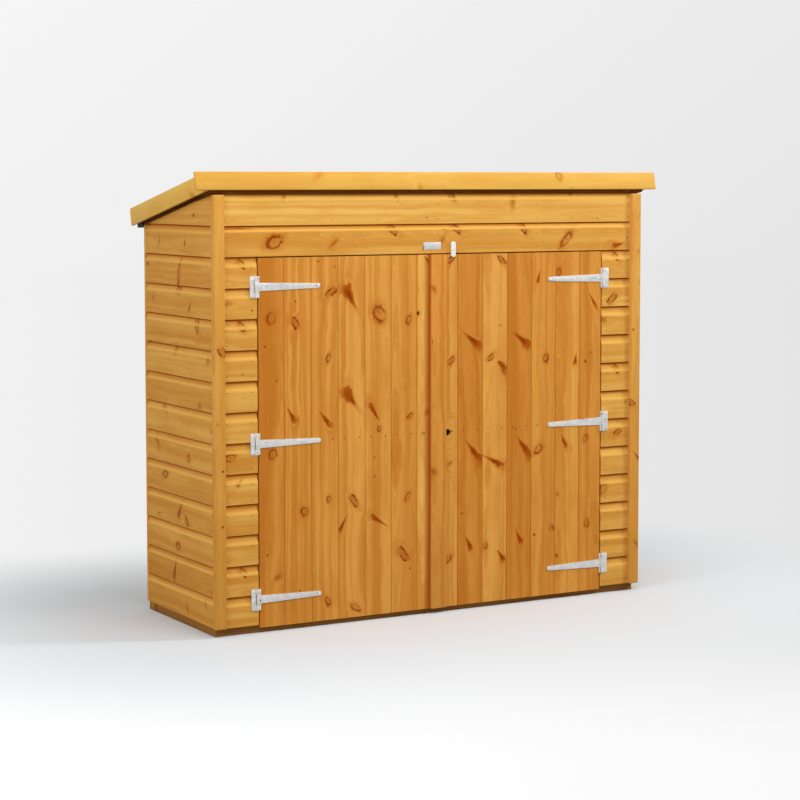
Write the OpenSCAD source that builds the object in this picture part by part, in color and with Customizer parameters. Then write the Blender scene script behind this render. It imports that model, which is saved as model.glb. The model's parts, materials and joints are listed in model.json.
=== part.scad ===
// Pent-roofed timber bike store with a pair of outward-opening doors.
// X runs along the front, from the left corner to the right as seen from outside.
// The doors face -Y and +Z is up. The origin is on the ground, at the middle of the floor.

/* [Doors] */
// Width of each door
door_w = 736; // [500:0.5:1000]
// Height of the doors' feet above the ground
door_foot = 20; // [12:1:28]
// Thickness of the door boards
door_t = 12; // [9:1:14]
// Gap round the doors and where they meet
door_gap = 5; // [3:0.5:8]
// Height of a ledge, the bar across the back of a door
ledge_h = 96; // [70:1:130]
// Thickness of the ledges and braces
ledge_t = 16; // [12:1:24]
// Distance from a door's hinge edge to the ledges
ledge_hinge_inset = 36; // [25:1:60]
// Distance from a door's free edge to the ledges
ledge_free_inset = 66; // [60:1:90]
// Width of a brace, measured level
brace_w = 92; // [60:1:120]
// Width of the strip that covers the meeting edges
cover_strip_w = 64; // [46:1:66]
// Thickness of that strip
cover_strip_t = 12; // [8:1:20]
// Relief behind the half of the strip that laps the left door
cover_strip_relief = 1; // [0.5:0.5:2]

/* [Walls] */
// Width of the wall between the doorway and the face of the side boards
side_panel_w = 166.5; // [126:0.5:400]
// Depth over the front and rear boards
wall_d = 622; // [480:1:900]
// Height of the front boards' top edge above the ground
front_wall_top = 1575; // [1450:1:1900]
// Height of the doorway's top edge above the ground
doorway_top = 1350; // [1100:1:1400]
// Thickness of the wall boards
board_t = 12; // [9:1:16]
// Depth of the framing behind the boards
frame_t = 28; // [22:1:40]
// Width of the framing timber
frame_w = 44; // [34:1:50]
// Width of a corner trim
trim_w = 44; // [40:1:56]
// How far a corner trim stands in front of the front boards
trim_front_proud = 14; // [8:1:20]
// How far a corner trim stands beyond the side boards
trim_side_proud = 8; // [2:1:14]
// How far a corner trim stops below the top of the front boards
trim_top_drop = 6; // [0:1:12]

/* [Floor] */
// Height of the bearers under the floor
bearer_h = 30; // [30:1:60]
// Width of a bearer
bearer_w = 44; // [34:1:60]
// How far the bearers' ends lie inside the face of the side boards
bearer_end_inset = 3; // [0:1:10]
// Thickness of the floor boards
floor_t = 12; // [9:1:20]
// Clearance between the doors and the front edge of the floor
floor_clear = 5; // [3:1:12]
// Joists between the two outer ones
inner_joists = 3; // [1:1:5]

/* [Roof] */
// Fall of the roof towards the rear, in degrees
roof_pitch = 11.2; // [6:0.1:16]
// Width of the eaves rails
rail_w = 42; // [30:1:50]
// Height of the rails and rafters, square to the roof
rail_h = 56; // [40:1:70]
// Thickness of the roof boards
roof_board_t = 12; // [9:1:18]
// Thickness of the roofing felt
felt_t = 2; // [1:0.5:4]
// How far the front rail stands in front of the front boards
front_overhang = 7.5; // [4:0.5:30]
// Clearance between the rear wall and the rear eaves rail
rear_rail_clear = 5; // [3:1:20]
// How far the rear eaves rail runs past the side boards
rear_rail_end = 6; // [0:1:12]
// Height of the barge boards and of the fascia
barge_h = 65; // [50:1:90]
// Thickness of the barge boards and of the fascia
barge_t = 12; // [9:1:18]
// How far the barge boards stand beyond the side boards
barge_out = 31; // [24:1:80]
// How far the lower edge of the barge boards is above the rails' undersides
barge_rise = 8; // [2:1:15]
// How far the fascia runs past the barge boards
fascia_end = 43; // [0:1:60]

/* [Hinges] */
// Distance from a door's top or foot to the middle of the nearest hinge
hinge_edge = 103; // [80:1:160]
// How far the hinge pins lie outside the doors' hinge edges
pin_out = 10; // [9:0.5:14]
// Radius of a hinge pin
pin_r = 2.5; // [2:0.1:3.5]
// Radial clearance of a pin in its knuckle
pin_clear = 0.1; // [0.05:0.01:0.1]
// Radius of a hinge knuckle
knuckle_r = 4.5; // [4:0.1:6]
// Clearance between a knuckle and its neighbours
knuckle_clear = 0.5; // [0.3:0.1:1]
// Height of a hinge
hinge_h = 77; // [60:1:100]
// Width of the plate on the wall
hinge_plate_w = 18; // [16:1:30]
// Thickness of the hinge plates
hinge_plate_t = 2.5; // [2:0.1:3.5]
// Thickness of the straps
strap_t = 3; // [2:0.1:4]
// Length of a strap, from the pin to the tip
strap_len = 257; // [160:1:320]
// Height of a strap at its root
strap_root_h = 30; // [24:1:40]
// Height of a strap at its tip
strap_tip_h = 17; // [12:1:22]
// Width of the bar across a strap's root
strap_bar_w = 7.5; // [5:0.5:12]

/* [Fittings] */
// Radius of the lock hole
lock_r = 12.5; // [8:0.5:14]
// Distance from the right door's free edge to the middle of the lock hole
lock_edge = 43.5; // [43.5:0.5:46]
// Height of the lock hole above the ground
lock_z = 679; // [600:1:760]
// Width of the turn button
button_w = 18; // [14:1:24]
// Length of the turn button
button_l = 58; // [50:1:80]
// Thickness of the turn button
button_t = 7; // [5:1:10]
// Clearance behind the turn button
button_clear = 1; // [0.5:0.5:2]
// How far the turn button laps the right door
button_lap = 10.5; // [8:0.5:16]
// Distance from the middle of the doorway to the turn button's screw
button_x = 65; // [50:1:200]
// Radius of the turn button's screw
screw_r = 2.5; // [2:0.1:3]
// Radius of that screw's head
screw_head_r = 5; // [4:0.1:6]
// Width of the blank plate over the doors
plate_w = 76; // [50:1:120]
// Height of that plate
plate_h = 28; // [20:1:40]
// Thickness of that plate
plate_t = 1.5; // [1:0.1:3]
// Distance from the middle of the doorway to the plate's middle, towards the left
plate_x = 24; // [0:1:200]
// Height of the plate's middle above the doorway's top edge
plate_rise = 28; // [20:1:60]

/* [Hidden] */
$fn = 48;

stained = [0.80, 0.58, 0.27];
door_stained = [0.80, 0.55, 0.24];
pale_stained = [0.92, 0.71, 0.33];
bare_wood = [0.86, 0.74, 0.52];
felt_black = [0.16, 0.16, 0.17];
galvanised = [0.80, 0.82, 0.83];
white_plastic = [0.93, 0.93, 0.91];

// The walls: half widths are measured from the middle of the doorway
doorway_half = door_w + 1.5 * door_gap;
wall_half = doorway_half + side_panel_w;
frame_half = wall_half - board_t;
trim_inner = wall_half + trim_side_proud - trim_w;
frame_back = board_t + frame_t;
rear_frame_y = wall_d - board_t - frame_t;

// The floor: its bearers run out under the side boards, and its boards stop inside them
floor_front_y = board_t + floor_clear;
floor_rear_y = wall_d - board_t;
floor_top = bearer_h + floor_t;
front_y = -(floor_front_y + floor_rear_y) / 2;
bearer_half = wall_half - bearer_end_inset;
joist_pitch = (2 * bearer_half - bearer_w) / (inner_joists + 1);
joist_rear_y = floor_rear_y - bearer_w;

// The doors
door_top = doorway_top - 0.8 * door_gap;
hinge_z = [door_foot + hinge_edge, (door_foot + door_top) / 2, door_top - hinge_edge];
door_edge = doorway_half - door_gap;
ledge_from = door_edge - ledge_hinge_inset;
ledge_to = door_gap / 2 + ledge_free_inset;

// The roof: v runs down its slope from the front boards' face, w is square to it
roof_front_v = -front_overhang;
felt_front_v = roof_front_v - felt_t;
rear_rail_v = (wall_d + rear_rail_clear) / cos(roof_pitch);
roof_rear_v = rear_rail_v + rail_w;
felt_rear_v = roof_rear_v + felt_t;
rafter_front_v = roof_front_v + rail_w;
rafter_rear_v = wall_d / cos(roof_pitch);
roof_half = wall_half + barge_out - barge_t;
board_w0 = rail_h;
felt_w0 = rail_h + roof_board_t;

// The hinges: knuckle and pin lie in front of the boards
pin_x = door_edge + pin_out;
pin_y = -knuckle_r - knuckle_clear;
knuckle_h = hinge_h / 2;
bar_from = pin_x - knuckle_r - 2 * knuckle_clear;
button_z = door_top + button_l / 2 - button_lap;
button_y = -button_clear - button_t;
head_t = 1.8;

module at_front() {
    translate([0, front_y, 0]) children();
}

module both_sides() {
    children();
    mirror([1, 0, 0]) children();
}

// A block between its lowest and highest corners
module block(low, high) {
    translate(low) cube(high - low);
}

// The space under the roof's rails, down to the given depth below them
module under_roof(depth) {
    run = 2 * wall_d;
    fall = run * tan(roof_pitch);
    rotate([90, 0, 90])
        linear_extrude(height = 4 * wall_half, center = true)
            polygon([
                [-run / 2, front_wall_top + fall / 2],
                [-run / 2, front_wall_top + fall / 2 - depth],
                [run / 2, front_wall_top - fall / 2 - depth],
                [run / 2, front_wall_top - fall / 2]
            ]);
}

// A piece of wall that rises to the roof
module wall_block(low, high) {
    intersection() {
        block(low, [high[0], high[1], front_wall_top]);
        under_roof(2 * front_wall_top);
    }
}

// A rail along the top of a wall, under the roof
module top_rail(low, high) {
    intersection() {
        block([low[0], low[1], door_foot], [high[0], high[1], front_wall_top]);
        under_roof(frame_w / cos(roof_pitch));
    }
}

module on_roof() {
    translate([0, 0, front_wall_top]) rotate([-roof_pitch, 0, 0]) children();
}

// ---- floor ----

module floor_joists() {
    color(bare_wood) at_front() {
        both_sides()
            block([bearer_half - bearer_w, floor_front_y, 0], [bearer_half, joist_rear_y, bearer_h]);
        for (i = [1:inner_joists]) {
            x = -bearer_half + i * joist_pitch;
            block([x, floor_front_y + bearer_w, 0], [x + bearer_w, joist_rear_y, bearer_h]);
        }
    }
}

module floor_front_bearer() {
    half = bearer_half - bearer_w;
    color(bare_wood) at_front()
        block([-half, floor_front_y, 0], [half, floor_front_y + bearer_w, bearer_h]);
}

module floor_rear_bearer() {
    color(bare_wood) at_front()
        block([-bearer_half, joist_rear_y, 0], [bearer_half, floor_rear_y, bearer_h]);
}

module floor_boards() {
    color(bare_wood) at_front()
        block([-frame_half, floor_front_y, bearer_h], [frame_half, floor_rear_y, floor_top]);
}

// ---- walls ----

module side_wall_boards() {
    color(stained) at_front()
        wall_block([frame_half, board_t, bearer_h], [wall_half, floor_rear_y]);
}

module left_wall_boards() {
    mirror([1, 0, 0]) side_wall_boards();
}

module right_wall_boards() {
    side_wall_boards();
}

// The rear boards cover the ends of the side boards
module rear_wall_boards() {
    color(stained) at_front()
        wall_block([-wall_half, floor_rear_y, bearer_h], [wall_half, wall_d]);
}

module front_side_boards() {
    color(stained) at_front()
        block([doorway_half, 0, bearer_h], [trim_inner, board_t, doorway_top]);
}

module front_wall_left() {
    mirror([1, 0, 0]) front_side_boards();
}

module front_wall_right() {
    front_side_boards();
}

// The boards over the doorway run from trim to trim
module front_wall_header() {
    color(stained) at_front()
        wall_block([-trim_inner, 0, doorway_top], [trim_inner, board_t]);
}

module corner_trim() {
    color(pale_stained) at_front()
        block(
            [trim_inner, -trim_front_proud, bearer_h],
            [trim_inner + trim_w, board_t, front_wall_top - trim_top_drop]
        );
}

module left_corner_trim() {
    mirror([1, 0, 0]) corner_trim();
}

module right_corner_trim() {
    corner_trim();
}

// ---- wall framing: posts stand on the floor, rails fill in between them ----

front_post_x = [doorway_half, frame_half - frame_w];
rear_bay = (2 * frame_half - frame_w) / 3;
mid_rail_z = (floor_top + front_wall_top - frame_w) / 2;

module front_posts() {
    color(bare_wood) at_front() both_sides()
        for (x = front_post_x)
            wall_block([x, board_t, floor_top], [x + frame_w, frame_back]);
}

module front_rails() {
    bay_from = doorway_half + frame_w;
    bay_to = frame_half - frame_w;
    color(bare_wood) at_front() {
        both_sides() {
            block([bay_from, board_t, floor_top], [bay_to, frame_back, floor_top + frame_w]);
            top_rail([bay_from, board_t], [bay_to, frame_back]);
        }
        top_rail([-doorway_half, board_t], [doorway_half, frame_back]);
        block(
            [-doorway_half, board_t, doorway_top],
            [doorway_half, frame_back, doorway_top + frame_w]
        );
    }
}

module side_posts() {
    x = frame_half - frame_t;
    color(bare_wood) at_front() both_sides()
        for (y = [frame_back, rear_frame_y - frame_w])
            wall_block([x, y, floor_top], [frame_half, y + frame_w]);
}

module side_rails() {
    x = frame_half - frame_t;
    y0 = frame_back + frame_w;
    y1 = rear_frame_y - frame_w;
    color(bare_wood) at_front() both_sides() {
        for (z = [floor_top, mid_rail_z])
            block([x, y0, z], [frame_half, y1, z + frame_w]);
        top_rail([x, y0], [frame_half, y1]);
    }
}

module rear_posts() {
    color(bare_wood) at_front()
        for (i = [0:3]) {
            x = -frame_half + i * rear_bay;
            wall_block([x, rear_frame_y, floor_top], [x + frame_w, floor_rear_y]);
        }
}

module rear_rails() {
    color(bare_wood) at_front()
        for (i = [0:2]) {
            x0 = -frame_half + i * rear_bay + frame_w;
            x1 = x0 + rear_bay - frame_w;
            for (z = [floor_top, mid_rail_z])
                block([x0, rear_frame_y, z], [x1, floor_rear_y, z + frame_w]);
            top_rail([x0, rear_frame_y], [x1, floor_rear_y]);
        }
}

// ---- roof ----

module roof_front_rail() {
    color(bare_wood) at_front() on_roof()
        block([-roof_half, roof_front_v, 0], [roof_half, rafter_front_v, rail_h]);
}

module roof_rear_rail() {
    half = wall_half + rear_rail_end;
    color(felt_black) at_front() on_roof()
        block([-half, rear_rail_v, 0], [half, roof_rear_v, rail_h]);
}

module roof_rafters() {
    color(bare_wood) at_front() on_roof() {
        both_sides()
            block([wall_half - rail_w, rafter_front_v, 0], [wall_half, rafter_rear_v, rail_h]);
        block([-frame_t / 2, rafter_front_v, 0], [frame_t / 2, rafter_rear_v, rail_h]);
    }
}

module roof_boards() {
    color(bare_wood) at_front() on_roof()
        block([-roof_half, roof_front_v, board_w0], [roof_half, roof_rear_v, felt_w0]);
}

// The felt lies on the boards and turns down over the front and rear rails
module roof_felt() {
    rear_half = wall_half + rear_rail_end;
    color(felt_black) at_front() on_roof() {
        block([-roof_half, felt_front_v, felt_w0], [roof_half, felt_rear_v, felt_w0 + felt_t]);
        block([-roof_half, felt_front_v, 0], [roof_half, roof_front_v, felt_w0]);
        block([-rear_half, roof_rear_v, 0], [rear_half, felt_rear_v, felt_w0]);
    }
}

module front_fascia() {
    half = roof_half + barge_t + fascia_end;
    color(pale_stained) at_front() on_roof()
        block([-half, felt_front_v - barge_t, barge_rise], [half, felt_front_v, barge_rise + barge_h]);
}

module barge_board() {
    color(pale_stained) at_front() on_roof()
        block(
            [roof_half, felt_front_v, barge_rise],
            [roof_half + barge_t, felt_rear_v, barge_rise + barge_h]
        );
}

module left_barge_board() {
    mirror([1, 0, 0]) barge_board();
}

module right_barge_board() {
    barge_board();
}

// ---- doors: each piece is drawn for the right door, and mirrored for the left one ----

module door_boards() {
    block([door_gap / 2, 0, door_foot], [door_edge, door_t, door_top]);
}

module door_ledges() {
    color(stained) at_front()
        for (z = hinge_z)
            block([ledge_to, door_t, z - ledge_h / 2], [ledge_from, door_t + ledge_t, z + ledge_h / 2]);
}

// Each brace rises from the hinge side to the free side, between two ledges
module door_braces() {
    color(stained) at_front()
        for (i = [0:1]) {
            z0 = hinge_z[i] + ledge_h / 2;
            z1 = hinge_z[i + 1] - ledge_h / 2;
            translate([0, door_t + ledge_t, 0]) rotate([90, 0, 0])
                linear_extrude(height = ledge_t)
                    polygon([
                        [ledge_from, z0], [ledge_from - brace_w, z0],
                        [ledge_to, z1], [ledge_to + brace_w, z1]
                    ]);
        }
}

// Strap with its bar and the middle knuckle, at height 0
module door_strap() {
    tip_r = strap_tip_h / 2;
    tip_x = pin_x - strap_len + tip_r;
    difference() {
        union() {
            rotate([90, 0, 0]) linear_extrude(height = strap_t) {
                polygon([
                    [bar_from, -strap_root_h / 2], [bar_from, strap_root_h / 2],
                    [tip_x, tip_r], [tip_x, -tip_r]
                ]);
                translate([tip_x, 0]) circle(r = tip_r);
            }
            block([bar_from - strap_bar_w, -strap_t, -hinge_h / 2], [bar_from, 0, hinge_h / 2]);
            block([bar_from, -strap_t, -knuckle_h / 2], [pin_x, pin_y + knuckle_r, knuckle_h / 2]);
            translate([pin_x, pin_y, -knuckle_h / 2]) cylinder(r = knuckle_r, h = knuckle_h);
        }
        translate([pin_x, pin_y, -knuckle_h]) cylinder(r = pin_r + pin_clear, h = 2 * knuckle_h);
    }
}

module door_straps() {
    color(galvanised) at_front()
        for (z = hinge_z)
            translate([0, 0, z]) door_strap();
}

// Wall plate with the two outer knuckles and the pin, at height 0
module hinge_plate() {
    plate_from = pin_x + knuckle_r + 3 * knuckle_clear;
    outer_h = (hinge_h - knuckle_h) / 2 - knuckle_clear;
    block([plate_from, -hinge_plate_t, -hinge_h / 2], [plate_from + hinge_plate_w, 0, hinge_h / 2]);
    for (z = [-hinge_h / 2, hinge_h / 2 - outer_h]) {
        block([pin_x, -hinge_plate_t, z], [plate_from, pin_y + knuckle_r, z + outer_h]);
        translate([pin_x, pin_y, z]) cylinder(r = knuckle_r, h = outer_h);
    }
    translate([pin_x, pin_y, -hinge_h / 2]) cylinder(r = pin_r, h = hinge_h);
}

module hinge_plates() {
    color(galvanised) at_front()
        for (z = hinge_z)
            translate([0, 0, z]) hinge_plate();
}

module left_hinge_plates() {
    mirror([1, 0, 0]) hinge_plates();
}

module right_hinge_plates() {
    hinge_plates();
}

module left_door_boards() {
    color(door_stained) at_front() mirror([1, 0, 0]) door_boards();
}

module left_door_ledges() {
    mirror([1, 0, 0]) door_ledges();
}

module left_door_braces() {
    mirror([1, 0, 0]) door_braces();
}

module left_door_straps() {
    mirror([1, 0, 0]) door_straps();
}

module right_door_boards() {
    color(door_stained) at_front() difference() {
        door_boards();
        translate([door_gap / 2 + lock_edge, -door_t, lock_z])
            rotate([-90, 0, 0]) cylinder(r = lock_r, h = 3 * door_t);
    }
}

module right_door_ledges() {
    door_ledges();
}

module right_door_braces() {
    door_braces();
}

module right_door_straps() {
    door_straps();
}

module cover_strip() {
    half = cover_strip_w / 2;
    color(stained) at_front() difference() {
        block([-half, -cover_strip_t, door_foot], [half, 0, door_top]);
        block([-half - 1, -cover_strip_relief, door_foot - 1], [0, 1, door_top + 1]);
    }
}

// ---- fittings over the doors ----

module turn_button() {
    reach = (button_l - button_w) / 2;
    color(white_plastic) at_front()
        translate([button_x, -button_clear, button_z]) rotate([90, 0, 0]) difference() {
            linear_extrude(height = button_t) {
                square([button_w, 2 * reach], center = true);
                for (z = [-reach, reach])
                    translate([0, z]) circle(r = button_w / 2);
            }
            translate([0, 0, -1]) cylinder(r = screw_r + pin_clear, h = button_t + 2);
        }
}

// The screw turns in the header, and a collar keeps the button off the boards
module turn_button_screw() {
    color(galvanised) at_front() translate([button_x, 0, button_z]) rotate([90, 0, 0]) {
        cylinder(r = screw_head_r, h = button_clear - pin_clear);
        cylinder(r = screw_r, h = -button_y + pin_clear);
        translate([0, 0, -button_y + pin_clear]) cylinder(r = screw_head_r, h = head_t);
    }
}

module name_plate() {
    z = doorway_top + plate_rise;
    color(galvanised) at_front()
        block([-plate_x - plate_w / 2, -plate_t, z - plate_h / 2], [-plate_x + plate_w / 2, 0, z + plate_h / 2]);
}

floor_joists();
floor_front_bearer();
floor_rear_bearer();
floor_boards();
left_wall_boards();
right_wall_boards();
rear_wall_boards();
front_wall_left();
front_wall_right();
front_wall_header();
front_posts();
front_rails();
side_posts();
side_rails();
rear_posts();
rear_rails();
left_corner_trim();
right_corner_trim();
roof_front_rail();
roof_rear_rail();
roof_rafters();
roof_boards();
roof_felt();
front_fascia();
left_barge_board();
right_barge_board();
left_hinge_plates();
right_hinge_plates();
name_plate();
turn_button_screw();
left_door_boards();
left_door_ledges();
left_door_braces();
left_door_straps();
right_door_boards();
right_door_ledges();
right_door_braces();
right_door_straps();
cover_strip();
turn_button();
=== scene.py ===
import json
import math
import random
import bpy
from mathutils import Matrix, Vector


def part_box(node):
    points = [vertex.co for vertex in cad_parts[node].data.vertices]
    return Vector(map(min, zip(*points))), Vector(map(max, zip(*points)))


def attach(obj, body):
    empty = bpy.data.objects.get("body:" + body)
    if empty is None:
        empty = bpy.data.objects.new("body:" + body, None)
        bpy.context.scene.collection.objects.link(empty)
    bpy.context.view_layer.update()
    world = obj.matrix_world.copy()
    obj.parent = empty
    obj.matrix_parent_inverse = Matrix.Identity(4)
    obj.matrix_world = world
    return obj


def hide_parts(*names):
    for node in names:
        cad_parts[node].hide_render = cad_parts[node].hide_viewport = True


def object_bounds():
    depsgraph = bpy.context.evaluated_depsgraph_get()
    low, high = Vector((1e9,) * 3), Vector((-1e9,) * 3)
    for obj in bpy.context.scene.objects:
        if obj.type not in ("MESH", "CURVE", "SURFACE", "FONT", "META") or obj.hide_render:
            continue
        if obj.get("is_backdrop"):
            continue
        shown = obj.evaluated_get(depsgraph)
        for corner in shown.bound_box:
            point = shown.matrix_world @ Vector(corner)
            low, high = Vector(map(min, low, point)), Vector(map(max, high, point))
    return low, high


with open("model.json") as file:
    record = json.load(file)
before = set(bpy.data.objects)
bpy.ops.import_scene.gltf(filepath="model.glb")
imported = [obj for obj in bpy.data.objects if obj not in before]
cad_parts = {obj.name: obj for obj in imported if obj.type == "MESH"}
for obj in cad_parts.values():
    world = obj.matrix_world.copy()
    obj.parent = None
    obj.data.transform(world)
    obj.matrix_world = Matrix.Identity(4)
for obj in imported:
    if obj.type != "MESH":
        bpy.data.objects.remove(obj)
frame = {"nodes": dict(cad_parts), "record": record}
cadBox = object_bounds()
print("frame loaded:", len(frame["nodes"]), "nodes")

# Everything below is in metres, with the doors facing -Y. Places come from the CAD nodes.
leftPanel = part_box("front_wall_left")
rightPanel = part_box("front_wall_right")
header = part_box("front_wall_header")
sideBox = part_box("left_wall_boards")
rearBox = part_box("rear_wall_boards")
faceY = leftPanel[0].y            # outer face of the front boards
boardThick = leftPanel[1].y - faceY
boardsFoot = leftPanel[0].z
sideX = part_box("right_wall_boards")[1].x
plumb = Vector((0, 0, 1))

# the slope of the roof, from the front and rear boards
roofPitch = math.atan2(header[1].z - rearBox[1].z, rearBox[0].y - faceY)
roofAway = Vector((0, math.sin(roofPitch), math.cos(roofPitch)))
downSlope = Vector((0, math.cos(roofPitch), -math.sin(roofPitch)))
roofPoint = Vector((0, faceY, header[1].z))


def pickOnly(*pieces):
    if bpy.context.mode != "OBJECT":
        bpy.ops.object.mode_set(mode="OBJECT")
    bpy.ops.object.select_all(action="DESELECT")
    for piece in pieces:
        piece.select_set(True)
    if pieces:
        bpy.context.view_layer.objects.active = pieces[0]


def placeInMesh(piece):
    pickOnly(piece)
    bpy.ops.object.transform_apply(location=True, rotation=True, scale=True)
    return piece


def nameIt(piece, name):
    piece.name = name
    piece.data.name = name
    return piece


def addBlock(name, low, high):
    low, high = Vector(low), Vector(high)
    pickOnly()
    bpy.ops.mesh.primitive_cube_add(size=1, location=(low + high) / 2, scale=high - low)
    return placeInMesh(nameIt(bpy.context.object, name))


def addRod(name, centre, radius, length, sides=24, turn=(0, 0, 0)):
    pickOnly()
    bpy.ops.mesh.primitive_cylinder_add(
        vertices=sides, radius=radius, depth=length, location=centre, rotation=turn
    )
    return placeInMesh(nameIt(bpy.context.object, name))


def copyOf(piece, name):
    twin = piece.copy()
    twin.data = piece.data.copy()
    bpy.context.scene.collection.objects.link(twin)
    return nameIt(twin, name)


def joinAll(pieces, name):
    pickOnly(*pieces)
    if len(pieces) > 1:
        bpy.ops.object.join()
    return nameIt(bpy.context.object, name)


def pickParts(piece, kind, test):
    # picks the vertices, edges or faces whose middle and direction pass the test, in edit mode
    pickOnly(piece)
    bpy.ops.object.mode_set(mode="EDIT")
    bpy.ops.mesh.select_mode(type=kind)
    bpy.ops.mesh.select_all(action="DESELECT")
    bpy.ops.object.mode_set(mode="OBJECT")
    mesh = piece.data
    if kind == "VERT":
        for vertex in mesh.vertices:
            vertex.select = test(vertex.co, vertex.normal)
    elif kind == "EDGE":
        for edge in mesh.edges:
            ends = [mesh.vertices[i].co for i in edge.vertices]
            edge.select = test((ends[0] + ends[1]) / 2, (ends[1] - ends[0]).normalized())
    else:
        for face in mesh.polygons:
            face.select = test(face.center, face.normal)
    bpy.ops.object.mode_set(mode="EDIT")


def toObject():
    bpy.ops.object.mode_set(mode="OBJECT")


def cutAcross(piece, point, normal, drop=False):
    pickOnly(piece)
    bpy.ops.object.mode_set(mode="EDIT")
    bpy.ops.mesh.select_all(action="SELECT")
    bpy.ops.mesh.bisect(plane_co=point, plane_no=normal, clear_outer=drop, use_fill=drop)
    toObject()


def bevelWhere(piece, test, width, steps=1):
    pickParts(piece, "EDGE", test)
    bpy.ops.mesh.bevel(offset=width, segments=steps, affect="EDGES")
    toObject()


def bevelAll(piece, width, steps=2, angle=30):
    pickOnly(piece)
    bevel = piece.modifiers.new("eased", "BEVEL")
    bevel.width = width
    bevel.segments = steps
    bevel.limit_method = "ANGLE"
    bevel.angle_limit = math.radians(angle)
    bpy.ops.object.modifier_apply(modifier=bevel.name)


def cutOut(piece, cutter):
    pickOnly(piece)
    hole = piece.modifiers.new("hole", "BOOLEAN")
    hole.operation = "DIFFERENCE"
    hole.solver = "EXACT"
    hole.object = cutter
    bpy.ops.object.modifier_apply(modifier=hole.name)
    bpy.data.objects.remove(cutter)


def smooth(piece, angle=35):
    pickOnly(piece)
    bpy.ops.object.shade_smooth_by_angle(angle=math.radians(angle))


def cadCopy(node, name):
    # a merged copy of a CAD node, with its flat faces whole again
    twin = copyOf(frame["nodes"][node], name)
    twin.parent = None
    for key in list(twin.keys()):
        del twin[key]
    twin.data.materials.clear()
    pickOnly(twin)
    bpy.ops.mesh.customdata_custom_splitnormals_clear()
    bpy.ops.object.mode_set(mode="EDIT")
    bpy.ops.mesh.select_all(action="SELECT")
    bpy.ops.mesh.remove_doubles(threshold=0.00001)
    bpy.ops.mesh.dissolve_limited(angle_limit=math.radians(1))
    toObject()
    return twin


def looseParts(piece):
    pickOnly(piece)
    bpy.ops.object.mode_set(mode="EDIT")
    bpy.ops.mesh.select_all(action="SELECT")
    bpy.ops.mesh.separate(type="LOOSE")
    toObject()
    return list(bpy.context.selected_objects)


def boxOf(piece):
    corners = [v.co for v in piece.data.vertices]
    low = Vector([min(c[i] for c in corners) for i in range(3)])
    return low, Vector([max(c[i] for c in corners) for i in range(3)])


def settle(piece, body, material, nodes=()):
    if not piece.data.materials:
        piece.data.materials.append(material)
    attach(piece, body)
    if nodes:
        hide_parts(*nodes)
    return piece


def rgb(red, green, blue):
    # a colour written as 0 to 255, as a paint chart gives it
    def linear(value):
        value /= 255
        return value / 12.92 if value < 0.04045 else ((value + 0.055) / 1.055) ** 2.4
    return (linear(red), linear(green), linear(blue), 1)


class Wire:
    # a socket that takes part in sums, each of which adds its Math node
    def __init__(self, finish, socket):
        self.finish = finish
        self.socket = socket

    def __add__(self, other):
        return self.finish.maths("ADD", self, other)

    def __sub__(self, other):
        return self.finish.maths("SUBTRACT", self, other)

    def __rsub__(self, other):
        return self.finish.maths("SUBTRACT", other, self)

    def __mul__(self, other):
        return self.finish.maths("MULTIPLY", self, other)

    def __truediv__(self, other):
        return self.finish.maths("DIVIDE", self, other)

    def __rtruediv__(self, other):
        return self.finish.maths("DIVIDE", other, self)

    def __pow__(self, other):
        return self.finish.maths("POWER", self, other)

    __radd__ = __add__
    __rmul__ = __mul__


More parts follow.
